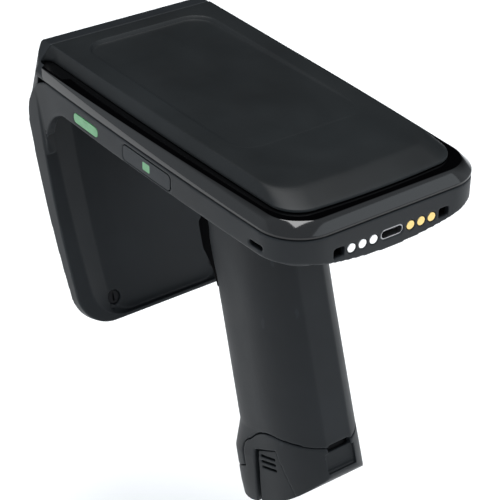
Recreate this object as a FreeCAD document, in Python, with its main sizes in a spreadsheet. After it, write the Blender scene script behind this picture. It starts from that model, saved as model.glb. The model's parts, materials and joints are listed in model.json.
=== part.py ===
import FreeCAD, Part
import math
import os

from FreeCAD import Placement, Rotation, Vector

# Pistol-grip UHF RFID reader.  Millimetres, +Z up, +Y towards the antenna, +X to the user's right.
# The origin is the centre of the charging face at the rear of the head, on the line of the contacts.

SIZES = {
    # head, seen from above
    "head_half_width": 43.0, "head_end_taper": 1.5, "head_span": 158.6, "head_corner": 15.5,
    "seam_height": 7.5, "low_edge": -0.8, "belly_height": -9.5, "belly_inset": 11.0, "chin_low": -5.3,
    "chin_half_width": 34.0, "wall": 2.0,
    # seam between the upper and lower mouldings, seen from the side
    "seam_corner_y": 162.7, "seam_corner_round": 16.4,
    # antenna panel, in its own tilted frame
    "panel_tilt": 19.0, "panel_length": 105.6, "panel_round": 15.2, "rim_top": 10.1, "rim_slope": 3.0,
    "rim_width": 4.0, "dish_wall": 11.0, "floor_top": 5.15, "floor_slope": 2.26, "floor_thick": 1.6,
    "radome_deep": 9.5, "radome_taper": 11.0, "radome_foot": 6.0, "radome_corner": 20.0, "lip_top": 18.1,
    "lip_front": 155.0, "lip_half_width": 34.9, "gusset_y": 127.0, "gusset_round": 16.5,
    "screw_x": 24.0, "screw_down": 97.5, "boss_radius": 3.4,
    "ground_wide": 68.0, "ground_tall": 66.0, "ground_thick": 1.0, "ground_fore": 0.0, "patch_wide": 52.0,
    "foam_thick": 2.4, "patch_thick": 0.8, "antenna_down": 54.0,
    # gloss ring round the head
    "bezel_top": 12.5, "bezel_band": 1.3, "bezel_rise": 0.0238, "bezel_chamfer": 3.8, "bezel_front": 149.6,
    "bezel_side_end": 142.0,
    # top cover
    "cover_half_width": 36.1, "cover_end_taper": 1.3, "cover_rear": 6.9, "cover_rear_bow": 1.0,
    "cover_corner": 10.5, "cover_low": 13.0, "cover_front": 149.2,
    "flat_half_width": 33.0, "flat_rear": 16.9, "flat_rear_top": 16.65, "flat_front_top": 18.4,
    "recess_half_width": 26.5, "recess_rear": 45.0, "recess_deep": 1.6, "recess_corner": 9.0,
    "cover_wall": 2.2, "gasket_inset": 1.2, "gasket_wide": 1.6,
    # charging face
    "contact_pitch": 4.5, "contact_gap": 15.4, "contact_radius": 1.65, "contact_long": 5.0,
    "socket_offset": 21.8, "socket_wide": 4.4, "socket_tall": 3.4, "socket_deep": 4.0,
    "port_wide": 9.3, "port_tall": 3.5, "port_deep": 7.6, "port_sheet": 0.35,
    "tongue_wide": 6.7, "tongue_tall": 0.7, "tongue_long": 5.0,
    "block_wide": 50.0, "block_deep": 5.0, "block_tall": 7.0,
    # left-hand side of the head
    "lamp_y": 114.5, "lamp_long": 16.0, "lamp_tall": 3.6, "lamp_z": 2.4,
    "key_y": 76.0, "key_long": 28.0, "key_tall": 5.7, "key_z": 2.85, "key_thick": 1.5, "key_gap": 0.3,
    "key_lamp_long": 4.2, "key_lamp_tall": 3.0, "key_bead": 0.5, "bead_fit": 0.07,
    "vent_y": 16.5, "vent_long": 6.6, "vent_tall": 1.8,
    # grip, in its own tilted frame: y forwards, z up its axis
    "grip_tilt": 17.0, "grip_y": 72.3, "grip_half_width": 16.5, "grip_rear": 23.5, "grip_front": 24.6,
    "facet_half_width": 5.5, "nose_swell": 3.0, "grip_wall": 2.2, "slide_gap": 0.35,
    "lanyard_wide": 10.2, "lanyard_tall": 3.0, "lanyard_down": 99.9, "base_length": 126.0,
    # trigger
    "trigger_half_width": 8.0, "trigger_gap": 0.5, "pivot_fore": 16.0, "pivot_down": 13.0, "pin_radius": 1.5,
    "pin_fit": 0.05, "pin_half_length": 11.0, "spring_wire": 0.4, "grip_flare": 1.1,
    # battery
    "case_front": 17.9, "case_top": 51.0, "case_end": 106.0, "case_wall": 1.2, "cell_radius": 9.0,
    "cell_rear": -10.7, "cell_length": 50.0, "cell_top": 53.5, "latch_end": 130.0,
    "latch_top": 102.4, "latch_thick": 3.2, "latch_travel": 2.0,
    # electronics
    "board_wide": 66.0, "board_long": 112.0, "board_thick": 1.6, "board_z": 0.0, "board_y": 72.0,
    "can_wide": 38.0, "can_long": 44.0, "can_tall": 4.5,
    "radio_wide": 14.0, "radio_long": 18.0, "radio_tall": 2.2, "buzzer_radius": 6.0, "buzzer_tall": 3.5,
    "switch_wide": 7.2, "switch_long": 6.0, "switch_tall": 3.6, "micro_wide": 6.0, "micro_long": 6.0,
    "micro_tall": 10.0, "screw_head": 3.0, "screw_shank": 1.25,
}


def make_sheet(doc):
    sheet = doc.addObject("Spreadsheet::Sheet", "Sizes")
    for row, (alias, value) in enumerate(SIZES.items(), start=1):
        sheet.set(f"A{row}", alias)
        sheet.set(f"B{row}", str(value))
        sheet.setAlias(f"B{row}", alias)
    doc.recompute()
    return sheet


DOC = FreeCAD.newDocument("rfid_reader")
SHEET = make_sheet(DOC)


def size(alias):
    return float(SHEET.get(alias))


HEAD = Placement()
PANEL = Placement(Vector(0, size("seam_corner_y"), size("seam_height")),
                  Rotation(Vector(1, 0, 0), -size("panel_tilt")))
GRIP = Placement(Vector(0, size("grip_y"), size("belly_height")),
                 Rotation(Vector(1, 0, 0), -size("grip_tilt")))
FAR = 400.0


# ---------------------------------------------------------------- helpers

def feature(label, shape, frame=HEAD):
    obj = DOC.addObject("Part::Feature", label)
    obj.Label = label
    obj.Shape = shape
    obj.Placement = frame
    return obj


def plan_wire(half, taper, rear, corner, front, level, rise=0.0, bow=0.0):
    """Outline of the head seen from above: bowed sides, round rear corners, straight front.
    Its height is level at y = 0 and grows by rise for each millimetre forwards."""
    span = size("head_span")

    def point(x, y):
        return Vector(x, y, level + rise * y)

    def side(y):
        return half - taper * (2 * y / span - 1) ** 2

    start = rear + bow + corner
    edge = side(start)
    inner = edge - corner
    bend = corner * (1 - math.sqrt(0.5))
    mid = (start + front) / 2
    back = Part.LineSegment(point(inner, rear), point(-inner, rear))
    if bow:
        back = Part.Arc(point(inner, rear + bow), point(0, rear), point(-inner, rear + bow))
    return Part.Wire([part.toShape() for part in (
        Part.Arc(point(side(front), front), point(side(mid), mid), point(edge, start)),
        Part.Arc(point(edge, start), point(edge - bend, rear + bow + bend), point(inner, rear + bow)),
        back,
        Part.Arc(point(-inner, rear + bow), point(bend - edge, rear + bow + bend), point(-edge, start)),
        Part.Arc(point(-edge, start), point(-side(mid), mid), point(-side(front), front)),
        Part.LineSegment(point(-side(front), front), point(side(front), front)))])


def prism(wire, vector):
    return Part.Face(wire).extrude(vector)


def head_prism(inset, low, high, front):
    """The head's plan, inset by a wall, between two heights."""
    wire = plan_wire(size("head_half_width") - inset, size("head_end_taper"), inset,
                     size("head_corner") - inset, front, low)
    return prism(wire, Vector(0, 0, high - low))


def lower_head(inset, edge, belly, high, front):
    """The lower head: upright sides above its lower edge, then a slope in to a narrower belly."""
    narrow = size("belly_inset")
    corner = size("head_corner") - inset
    wires = [plan_wire(size("head_half_width") - inset, size("head_end_taper"), inset, corner, front, edge),
             plan_wire(size("head_half_width") - inset - narrow, size("head_end_taper"), inset + narrow,
                       corner - narrow / 2, front, belly)]
    return head_prism(inset, edge, high, front).fuse(Part.makeLoft(wires, True, True))


def side_profile(points, half):
    """A closed outline in the YZ plane of straight runs (y, z) and arcs ((y, z), (y, z)), made ±half thick."""
    edges = []
    last = Vector(-half, *points[0])
    for item in points[1:]:
        if isinstance(item[0], tuple):
            middle, end = (Vector(-half, *p) for p in item)
            edges.append(Part.Arc(last, middle, end).toShape())
        else:
            end = Vector(-half, *item)
            edges.append(Part.makeLine(last, end))
        last = end
    return prism(Part.Wire(edges), Vector(2 * half, 0, 0))


def behind_seam(shift=0.0):
    """Everything under and behind the parting seam, which runs level along the head, turns down
    through a round corner and follows the antenna panel."""
    tilt = math.radians(size("panel_tilt"))
    turn = (math.pi / 2 + tilt) / 2
    radius = size("seam_corner_round") + shift
    corner_y = size("seam_corner_y") + shift / math.cos(tilt) + shift * math.tan(tilt)
    level = size("seam_height") + shift
    reach = radius * math.tan(turn)
    centre = (corner_y - reach, level - radius)
    middle = (centre[0] + radius * math.sin(turn), centre[1] + radius * math.cos(turn))
    down = (corner_y - reach * math.sin(tilt), level - reach * math.cos(tilt))
    foot = size("panel_length") * 1.5
    return side_profile([(-FAR, level), (corner_y - reach, level), (middle, down),
                         (corner_y - foot * math.sin(tilt), level - foot * math.cos(tilt)),
                         (-FAR, level - foot * math.cos(tilt)), (-FAR, level)], FAR)


def panel_wire(half, foot, corner, top, depth):
    """Outline of the antenna panel in its own frame at one depth: bowed sides, round lower corners."""
    widest = -size("panel_length") * 0.45

    def side(z):
        return half - size("head_end_taper") * ((z - widest) / (0.4 * size("panel_length"))) ** 2

    def point(x, z):
        return Vector(x, depth, z)

    low = -foot
    start = low + corner
    mid = (start + top) / 2
    edge = side(start)
    bend = corner * (1 - math.sqrt(0.5))
    inner = edge - corner
    return Part.Wire([part.toShape() for part in (
        Part.Arc(point(side(top), top), point(side(mid), mid), point(edge, start)),
        Part.Arc(point(edge, start), point(edge - bend, low + bend), point(inner, low)),
        Part.LineSegment(point(inner, low), point(-inner, low)),
        Part.Arc(point(-inner, low), point(bend - edge, low + bend), point(-edge, start)),
        Part.Arc(point(-edge, start), point(-side(mid), mid), point(-side(top), top)),
        Part.LineSegment(point(-side(top), top), point(side(top), top)))])


def placed(shape, frame):
    copy = shape.copy()
    copy.Placement = frame.multiply(copy.Placement)
    return copy


def around(x, y, z, wide, deep, tall, corner=0.0, across="Z"):
    """A block by its middle and its sizes, with the four edges along one axis rounded."""
    block = Part.makeBox(wide, deep, tall, Vector(x - wide / 2, y - deep / 2, z - tall / 2))
    if not corner:
        return block
    axis = {"X": Vector(1, 0, 0), "Y": Vector(0, 1, 0), "Z": Vector(0, 0, 1)}[across]
    edges = [e for e in block.Edges if abs(abs(e.tangentAt(0) * axis) - 1) < 1e-6]
    return block.makeFillet(corner, edges)


def rod(x, y, z, radius, length, axis=Vector(0, 1, 0)):
    return Part.makeCylinder(radius, length, Vector(x, y, z), axis)


def fused(shapes):
    return shapes[0].multiFuse(shapes[1:]) if len(shapes) > 1 else shapes[0]


# ---------------------------------------------------------------- head mouldings

def panel_slab():
    """Rear half of the antenna panel: a slab behind the seam plane whose rim plane leans in at the foot."""
    deep = size("rim_top") + 4
    wire = panel_wire(size("head_half_width"), size("panel_length"), size("panel_round"), -6, -deep)
    rim = Part.makeBox(FAR, FAR, FAR, Vector(-FAR / 2, -FAR, -FAR / 2))
    rim.Placement = leaning(size("rim_top"), size("rim_slope"))
    return prism(wire, Vector(0, deep, 0)).cut(rim)


def leaning(back, slope):
    """A plane behind the seam at the panel's top, leaning towards it lower down."""
    return Placement(Vector(0, -back, 0), Rotation(Vector(1, 0, 0), slope))


def dish_solid():
    """The hollow in the back of the antenna panel: sloping sides and a flat floor."""
    inset, foot, corner = size("rim_width"), size("panel_length"), size("panel_round")
    half = size("head_half_width") - inset
    steep = size("dish_wall") / (size("rim_top") - size("floor_top"))
    mouth = panel_wire(half + 2 * steep, foot - inset + 1.5, corner, 2, -size("rim_top") - 2)
    floor = panel_wire(half - size("dish_wall"), foot - inset + 2.8, corner - inset, 2, -size("floor_top"))
    pivot = Placement(Vector(), Rotation(Vector(1, 0, 0), size("floor_slope")))
    return placed(Part.makeLoft([mouth, floor], True, True), pivot)


def chin():
    """The rear wall's lower edge dips in a shallow arc under the charging contacts."""
    half, edge = size("chin_half_width"), size("low_edge")
    left, right = Vector(-half, 0, edge), Vector(half, 0, edge)
    lift = Vector(0, 0, 4)
    outline = Part.Wire([Part.Arc(left, Vector(0, 0, size("chin_low")), right).toShape(),
                         Part.makeLine(right, right + lift), Part.makeLine(right + lift, left + lift),
                         Part.makeLine(left + lift, left)])
    block = prism(outline, Vector(0, 30, 0))
    return block.common(head_prism(0, size("belly_height"), size("seam_height"), size("head_span")))


def gusset():
    """The round inner corner of each rim, from the head's lower edge down to the panel."""
    start, edge, radius = size("gusset_y"), size("low_edge"), size("gusset_round")
    lean = math.radians(size("panel_tilt") - size("rim_slope"))
    middle = (math.pi / 2 + lean) / 2
    level = edge - radius
    corner = side_profile([(start, edge),
                           ((start + radius * math.sin(middle), level + radius * math.cos(middle)),
                            (start + radius * math.cos(lean), level - radius * math.sin(lean))),
                           (start + radius + 12, level - radius * math.sin(lean)),
                           (start + radius + 12, edge + 2), (start, edge + 2), (start, edge)], FAR)
    inner = size("head_half_width") - size("rim_width") - 0.4
    corner = corner.common(head_prism(0, -40, size("seam_height"), size("head_span")))
    return corner.cut(Part.makeBox(2 * inner, FAR, 60 + edge, Vector(-inner, 0, -60)))


def head_wall(thick):
    """The side and rear wall of the head between its belly and the seam."""
    low, top = size("belly_height") - 5, size("seam_height") + 5
    outer = head_prism(0, low, top, size("head_span"))
    return outer.cut(head_prism(thick, low, top, size("head_span")))


def lamp_block(grow=0.0):
    long, tall = size("lamp_long") + grow, size("lamp_tall") + grow
    return around(-size("head_half_width"), size("lamp_y"), size("lamp_z"), 12, long, tall, tall * 0.42, "X")


def key_block(grow=0.0):
    long, tall = size("key_long") + grow, size("key_tall") + grow
    return around(-size("head_half_width"), size("key_y"), size("key_z"), 12, long, tall, 1.6 + grow / 2, "X")


def key_lamp_block():
    long, tall = size("key_lamp_long"), size("key_lamp_tall")
    return around(-size("head_half_width"), size("key_y"), size("key_z"), 12, long, tall, 0.5, "X")


def buzzer_port():
    return around(-size("head_half_width"), size("vent_y"), 1.7, 12, size("vent_long"), size("vent_tall"), 0.5, "X")


def contact_places(side):
    first = size("contact_gap") / 2
    return [side * (first + step * size("contact_pitch")) for step in range(3)]


def charging_cuts(depth, loose):
    """Round holes for the contacts, two alignment sockets and the port, cut forwards from y = 0."""
    cuts = [rod(x, -1, 0, size("contact_radius") + loose, depth + 1)
            for side in (-1, 1) for x in contact_places(side)]
    for side in (-1, 1):
        cuts.append(around(side * size("socket_offset"), 0, 0, size("socket_wide"), 2 * depth,
                           size("socket_tall"), 0.4, "Y"))
    cuts.append(around(0, 0, 0, size("port_wide"), 2 * depth, size("port_tall"), size("port_tall") * 0.48, "Y"))
    return cuts


def key_bead(grow=0.0):
    """The round bead along the key's top edge, on which it turns."""
    long = size("key_long") - 4 + 2 * grow
    return rod(1 - size("head_half_width"), size("key_y") - long / 2, key_hinge_level(),
               size("key_bead") + grow, long)


def key_hinge_level():
    return size("key_z") + size("key_tall") / 2 - 0.2


def grip_screw_places():
    return [(x, size("grip_y") + y) for x in (-8, 8) for y in (-15, 12)]


def screw_pocket(x):
    """A U-shaped pocket, open towards the panel's foot, that clears a screw's head."""
    down, radius = -size("screw_down"), size("screw_head") - 0.2
    hole = rod(x, -5.4, down, radius, 6.6)
    return hole.fuse(around(x, -3.7, down - 2, 2 * radius, 3.4, 4))


def coax_hole():
    start, end = Vector(12, 144, 0.6), Vector(12, 162, -4.6)
    return Part.makeCylinder(1.4, (end - start).Length, start, end - start)


def head_tray():
    """The lower head and the back of the antenna panel, one L-shaped moulding."""
    belly, wall, span, edge = size("belly_height"), size("wall"), size("head_span"), size("low_edge")
    panel = placed(panel_slab(), PANEL).fuse(gusset()).cut(placed(dish_solid(), PANEL))
    body = lower_head(0, edge, belly, size("seam_height"), span).fuse([chin(), panel]).common(behind_seam())
    body = body.cut(lower_head(wall, edge + 0.8, belly + wall, size("seam_height") + 2, span - 8))
    for side in (-1, 1):
        x, down, floor = side * size("screw_x"), -size("screw_down"), -1.4
        body = body.fuse(placed(rod(x, floor, down, size("boss_radius"), 4.0), PANEL))
        body = body.cut(placed(screw_pocket(x), PANEL))
        body = body.cut(placed(rod(x, floor, down, size("screw_shank"), 9), PANEL))
    for x, y in grip_screw_places():
        body = body.cut(rod(x, y, belly - 1, size("screw_shank"), 4, Vector(0, 0, 1)))
    body = body.cut(rod(0, size("grip_y"), belly - 1, 5.0, 4, Vector(0, 0, 1)))
    body = body.cut(charging_cuts(8.0, 0.15)[:6] + charging_cuts(4.0, 0.0)[6:8] + charging_cuts(9.0, 0.0)[8:])
    body = body.cut([contact_pocket(), lamp_block(), key_block(2 * size("key_gap")), buzzer_port(),
                     key_bead(size("bead_fit")), coax_hole()])
    return feature("head_tray", body.removeSplitter())


def contact_pocket():
    deep = size("block_deep") + 0.1
    return around(0, size("wall") + deep / 2, 0, size("block_wide") + 0.1, deep, size("block_tall") + 0.1)


def radome_solid(inset):
    """The outer form of the front moulding, inset by a wall: a lip at the head's top edge, a crowned front
    and sides that draw in from the seam."""
    tilt = math.radians(size("panel_tilt"))
    top, lip = size("lip_top") - inset, size("lip_front") - inset
    deep = size("radome_deep") - inset
    rear = size("bezel_front") + inset

    def front(z):
        return (size("seam_corner_y") - (size("seam_height") - z) * math.tan(tilt)) + deep / math.cos(tilt)

    low = -size("panel_length") - 10
    profile = side_profile([(rear, 2), (rear, top), (lip, top),
                            ((lip + 8.6, 6.4 - inset / 2), (front(-9.5), -9.5)),
                            (front(low), low), (60, low), (60, 2), (rear, 2)], FAR)
    half = size("head_half_width") - inset
    corner = size("radome_corner")
    high, lean = 30.0, 0.35
    ahead = 160.0 - lean * (high - 12) + 3 - inset
    plan = around(0, ahead / 2, high, 2 * half - 2.4, ahead, 1)
    face = [f for f in plan.Faces if f.BoundBox.ZMin > high][0]
    block = prism(face.OuterWire, Vector(0, lean * FAR / 2, -FAR / 2))
    edges = [e for e in block.Edges if e.BoundBox.ZLength > 100 and e.BoundBox.YMin > ahead / 2]
    plan = block.makeFillet(corner, edges)
    foot, round_foot = size("panel_length") - inset, size("panel_round") - inset
    drawn = Part.makeLoft([
        panel_wire(half, foot, round_foot, 12, -60), panel_wire(half, foot, round_foot, 12, 0),
        panel_wire(half - size("radome_taper"), foot - size("radome_foot"), round_foot, 12,
                   size("radome_deep") + 1)], True, True)
    return profile.common(plan).common(shoulders(inset)).common(placed(drawn, PANEL))


def shoulders(inset):
    """The cross-section of the head's front end: sloping shoulders under a flat lip."""
    right = [(size("lip_half_width"), size("lip_top")), (39.4, 13.4), (42.2, 9.0), (44.0, 3.0), (46.0, -FAR)]
    right = [Vector(x - inset, 0, z - inset) for x, z in right]
    left = [Vector(-point.x, 0, point.z) for point in reversed(right)]
    return prism(Part.makePolygon(right + left + right[:1]), Vector(0, FAR, 0))


def side_ends(gap=0.0):
    """The housing's shoulders reach back along the head's sides and end in a slant."""
    back, inner, outer = size("bezel_side_end") - gap, 39.8 - gap, size("head_half_width") + 2
    low = size("seam_height") + 0.1 - gap
    blocks = []
    for side in (-1, 1):
        plan = [(inner, 150), (inner, back + 4.4), (43.4, back), (outer, back), (outer, 150), (inner, 150)]
        outline = Part.makePolygon([Vector(side * x, y, low) for x, y in plan])
        blocks.append(prism(outline, Vector(0, 0, 7)))
    return fused(blocks)


def front_housing():
    shell = radome_solid(0).cut(radome_solid(size("floor_thick")))
    ends = side_ends().common(shoulders(0)).common(head_prism(0, 0, 20, size("head_span")))
    shell = shell.fuse(ends).cut(behind_seam(0.15))
    return feature("front_housing", shell.removeSplitter())


def cover_plan(inset, level, rise=0.0, front=None):
    return plan_wire(size("cover_half_width") - inset, size("cover_end_taper"), size("cover_rear") + inset,
                     size("cover_corner") - inset / 2, front or size("cover_front"), level, rise,
                     size("cover_rear_bow"))


def bezel_ring():
    """Gloss ring on the seam: an upright band, lower at the rear, a chamfer that widens to the rear and a
    flat ledge under the cover's edge."""
    half, taper, corner = size("head_half_width"), size("head_end_taper"), size("head_corner")
    front, top, seam = size("bezel_front") - 0.1, size("bezel_top"), size("seam_height")
    band, rise, wide = seam + size("bezel_band"), size("bezel_rise"), size("bezel_chamfer")
    below = Part.makeBox(FAR, FAR, FAR, Vector(-FAR / 2, -FAR / 2, band - FAR))
    below = placed(below, Placement(Vector(), Rotation(Vector(1, 0, 0), math.degrees(math.atan(rise)))))
    upright = prism(plan_wire(half, taper, 0, corner, front, seam), Vector(0, 0, top - seam))
    skirt = Part.makeLoft([plan_wire(half, taper, 0, corner, front, band, rise),
                           plan_wire(half - wide, taper, wide, corner - wide / 2, front, band + wide, rise)],
                          True, True)
    ring = upright.common(below.fuse(skirt))
    ring = ring.cut(prism(cover_plan(2.6, seam - 1), Vector(0, 0, 12)))
    return feature("bezel_ring", ring.cut(side_ends(0.15)))


def top_rise():
    return (size("flat_front_top") - size("flat_rear_top")) / size("head_span")


def cover_solid(inset):
    """The cover's outer form: steep sides, a long ramp at the rear and a flat top that climbs forwards."""
    flat = plan_wire(size("flat_half_width") - inset, size("cover_end_taper"), size("flat_rear") + inset,
                     size("cover_corner") - inset / 2, size("cover_front"), size("flat_rear_top") - inset,
                     top_rise(), size("cover_rear_bow"))
    return Part.makeLoft([cover_plan(inset, size("cover_low")), flat], True, True)


def recess_block():
    """A shallow round-cornered pocket in the cover's top, deepest at the front."""
    rear, front = size("recess_rear"), size("cover_front") - 7.0
    long = front - rear
    block = around(0, long / 2, 10, 2 * size("recess_half_width"), long, 20, size("recess_corner"))
    slope = math.degrees(math.atan(top_rise()) - math.atan(size("recess_deep") / long))
    height = size("flat_rear_top") + top_rise() * rear
    return placed(block, Placement(Vector(0, rear, height), Rotation(Vector(1, 0, 0), slope)))


def top_cover():
    inner = cover_solid(size("cover_wall")).common(
        Part.makeBox(FAR, size("cover_front") - size("cover_wall"), FAR, Vector(-FAR / 2, 0, -FAR / 2)))
    body = cover_solid(0).cut(placed(inner, Placement(Vector(0, 0, -0.6), Rotation())))
    return feature("top_cover", body.cut(recess_block()).removeSplitter())


def cover_gasket():
    level, inset = size("bezel_top"), size("gasket_inset")
    front = size("cover_front") - 0.5
    tall = Vector(0, 0, size("cover_low") - level)
    outer = prism(cover_plan(inset, level, front=front), tall)
    inner = prism(cover_plan(inset + size("gasket_wide"), level, front=front - 2), tall)
    return feature("cover_gasket", outer.cut(inner))


def light_bar():
    return feature("light_bar", lamp_block().common(head_wall(size("wall"))))


def side_key():
    body = key_block().common(head_wall(size("key_thick"))).fuse(key_bead())
    return feature("side_key", body.cut(key_lamp_block()))


def key_window():
    return feature("key_window", key_lamp_block().common(head_wall(size("key_thick"))))


# ---------------------------------------------------------------- charging face

def contact_block():
    deep = size("block_deep")
    block = around(0, size("wall") + deep / 2, 0, size("block_wide"), deep, size("block_tall"), 1.0, "Y")
    return feature("contact_block", block.cut(charging_cuts(size("wall") + deep + 1, 0.0)[:6]
                                              + charging_cuts(size("socket_deep"), 0.0)[6:8]
                                              + charging_cuts(size("wall") + deep + 1, 0.0)[8:]))


def contact_pads(label, side):
    pads = []
    for x in contact_places(side):
        pad = rod(x, 0.1, 0, size("contact_radius"), size("contact_long") + size("wall"))
        pads.append(pad.makeFillet(0.25, [pad.Edges[2] if pad.Edges[2].CenterOfMass.y < 1 else pad.Edges[0]]))
    return feature(label, Part.makeCompound(pads))


def usb_shell():
    deep, sheet = size("port_deep"), size("port_sheet")
    wide, tall = size("port_wide") - 0.1, size("port_tall") - 0.1
    outer = around(0, 0.4 + deep / 2, 0, wide, deep, tall, tall * 0.48, "Y")
    inner = around(0, deep / 2 - 0.4, 0, wide - 2 * sheet, deep, tall - 2 * sheet, (tall - 2 * sheet) * 0.48, "Y")
    return feature("usb_shell", outer.cut(inner))


def usb_tongue():
    long = size("tongue_long")
    rear = size("port_deep") - 0.4
    return feature("usb_tongue", around(0, rear - long / 2, 0, size("tongue_wide"), long, size("tongue_tall")))


# ---------------------------------------------------------------- electronics in the head

def bound_block(label, wide, deep, tall, centre, frame=HEAD):
    """A rectangular piece whose sizes are cells of the sheet, placed by its middle."""
    block = DOC.addObject("Part::Box", label)
    block.Label = label
    for name, alias in (("Length", wide), ("Width", deep), ("Height", tall)):
        block.setExpression(name, f"Sizes.{alias}")
    corner = Vector(*centre) - Vector(size(wide), size(deep), size(tall)) * 0.5
    block.Placement = frame.multiply(Placement(corner, Rotation()))
    return block


def main_board():
    return bound_block("main_board", "board_wide", "board_long", "board_thick",
                       (0, size("board_y"), size("board_z")))


def shield_can():
    level = size("board_z") + (size("board_thick") + size("can_tall")) / 2
    return bound_block("shield_can", "can_wide", "can_long", "can_tall", (0, 104, level))


def bluetooth_module():
    level = size("board_z") + (size("board_thick") + size("radio_tall")) / 2
    return bound_block("bluetooth_module", "radio_wide", "radio_long", "radio_tall", (-18, 50, level))


def buzzer():
    disc = DOC.addObject("Part::Cylinder", "buzzer")
    disc.Label = "buzzer"
    disc.setExpression("Radius", "Sizes.buzzer_radius")
    disc.setExpression("Height", "Sizes.buzzer_tall")
    disc.Placement = Placement(Vector(-12, 30, size("board_z") + size("board_thick") / 2), Rotation())
    return disc


def key_switch():
    return bound_block("key_switch", "switch_wide", "switch_long", "switch_tall",
                       (-(size("board_wide") + size("switch_wide")) / 2, size("key_y"), size("key_z") - 1.6))


def board_screws():
    screws = []
    for x in (-1, 1):
        for y in (size("board_y") - 46, size("board_y") + 46):
            place = x * (size("board_wide") / 2 - 8)
            head = rod(place, y, size("board_z") + size("board_thick") / 2, size("screw_head") - 0.6, 1.6,
                       Vector(0, 0, 1))
            screws.append(head)
    return feature("board_screws", Part.makeCompound(screws))


def board_posts():
    floor = size("belly_height") + size("wall")
    tall = size("board_z") - size("board_thick") / 2 - floor
    posts = [rod(x * (size("board_wide") / 2 - 8), size("board_y") + y, floor, 3.0, tall, Vector(0, 0, 1))
             for x in (-1, 1) for y in (-46, 46)]
    return feature("board_posts", Part.makeCompound(posts))


# ---------------------------------------------------------------- antenna

def antenna_plate():
    return bound_block("antenna_ground_plate", "ground_wide", "ground_thick", "ground_tall",
                       (0, size("ground_fore") + size("ground_thick") / 2, -size("antenna_down")), PANEL)


def antenna_foam():
    fore = size("ground_fore") + size("ground_thick") + size("foam_thick") / 2
    return bound_block("antenna_spacer", "patch_wide", "foam_thick", "patch_wide",
                       (0, fore, -size("antenna_down")), PANEL)


def antenna_patch():
    fore = size("ground_fore") + size("ground_thick") + size("foam_thick")
    half, tall = size("patch_wide") / 2, size("patch_thick")
    plate = around(0, fore + tall / 2, -size("antenna_down"), 2 * half - 4, tall, 2 * half - 4)
    for side in (-1, 1):
        nick = around(side * (half - 2), fore, side * (half - 2) - size("antenna_down"), 14, 4, 14)
        nick.rotate(Vector(side * (half - 2), fore, side * (half - 2) - size("antenna_down")), Vector(0, 1, 0), 45)
        plate = plate.cut(nick)
    return feature("antenna_patch", plate, PANEL)


def antenna_coax():
    """The coaxial lead from the main board over the tray's front wall and down to the ground plate."""
    plate = PANEL.multVec(Vector(12, 1.9, -24))
    route = [Vector(12, 128.2, 2.2), Vector(12, 145, 0.3), Vector(12, 161, -4.3), plate]
    radius = 0.9
    pieces = [Part.makeCylinder(radius, (end - start).Length, start, end - start)
              for start, end in zip(route, route[1:])]
    knees = [Part.makeSphere(radius, knee) for knee in route[1:-1]]
    return feature("antenna_coax", fused(pieces + knees))


def antenna_screws():
    screws = []
    for side in (-1, 1):
        x, down = side * size("screw_x"), -size("screw_down")
        screw = rod(x, -0.6, down, size("screw_head") - 0.5, 1.8)
        screw = screw.fuse(rod(x, 1.2, down, size("screw_shank"), 3.2))
        screws.append(screw.cut(around(x, -0.6, down, 0.8, 1.6, 3.2)))
    return feature("antenna_screws", Part.makeCompound(screws), PANEL)


# ---------------------------------------------------------------- grip

def grip_section(inset, level, swell=0.0):
    """The grip across its axis: a flat rear facet, full sides and a rounded nose that can swell forwards."""
    def point(x, y):
        length = math.hypot(x, y)
        return Vector(x * (1 - inset / length), y * (1 - inset / length), level)

    half, rear, front = size("grip_half_width"), -size("grip_rear"), size("grip_front")
    facet = size("facet_half_width")
    right = [(facet, rear), (12.0, rear + 5.3), (half - 0.3, -9.0), (half + 0.3 * swell, 2.0),
             (14.8 + 0.8 * swell, 13.6 + 0.45 * swell), (8.8 + 0.7 * swell, 21.1 + 0.75 * swell)]
    left = [(-x, y) for x, y in reversed(right)]
    curve = Part.BSplineCurve()
    curve.interpolate([point(x, y) for x, y in right + [(0, front + 0.8 * swell)] + left])
    return Part.Wire([Part.makeLine(point(*left[-1]), point(*right[0])), curve.toShape()])


def grip_column(inset, top, foot):
    """The grip's form between two distances down its axis: it flares, and its nose swells below the hand."""
    swell, flare = size("nose_swell"), size("grip_flare")
    stations = [(50.0, 0.0, 0.0), (94.5, 0.5 * flare, 0.0), (105.0, 0.8 * flare, swell),
                (118.0, flare, swell), (130.0, flare, 0.8 * swell)]

    def at(down):
        for (first, out, nose), (last, wider, longer) in zip(stations, stations[1:]):
            if first <= down <= last:
                share = (down - first) / (last - first)
                return out + share * (wider - out), nose + share * (longer - nose)
        return stations[0][1:] if down < stations[0][0] else stations[-1][1:]

    places = sorted({top, foot} | {station[0] for station in stations if top < station[0] < foot})
    wires = [grip_section(inset - at(down)[0], -down, at(down)[1]) for down in places]
    return Part.makeLoft(wires, True, True)


def down_profile(points, half=60.0):
    """A side profile in the grip's frame with each point given as (forwards, down the axis)."""
    def flip(item):
        if isinstance(item[0], tuple):
            return tuple((fore, -down) for fore, down in item)
        return (item[0], -item[1])

    return side_profile([flip(item) for item in points], half)


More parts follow.
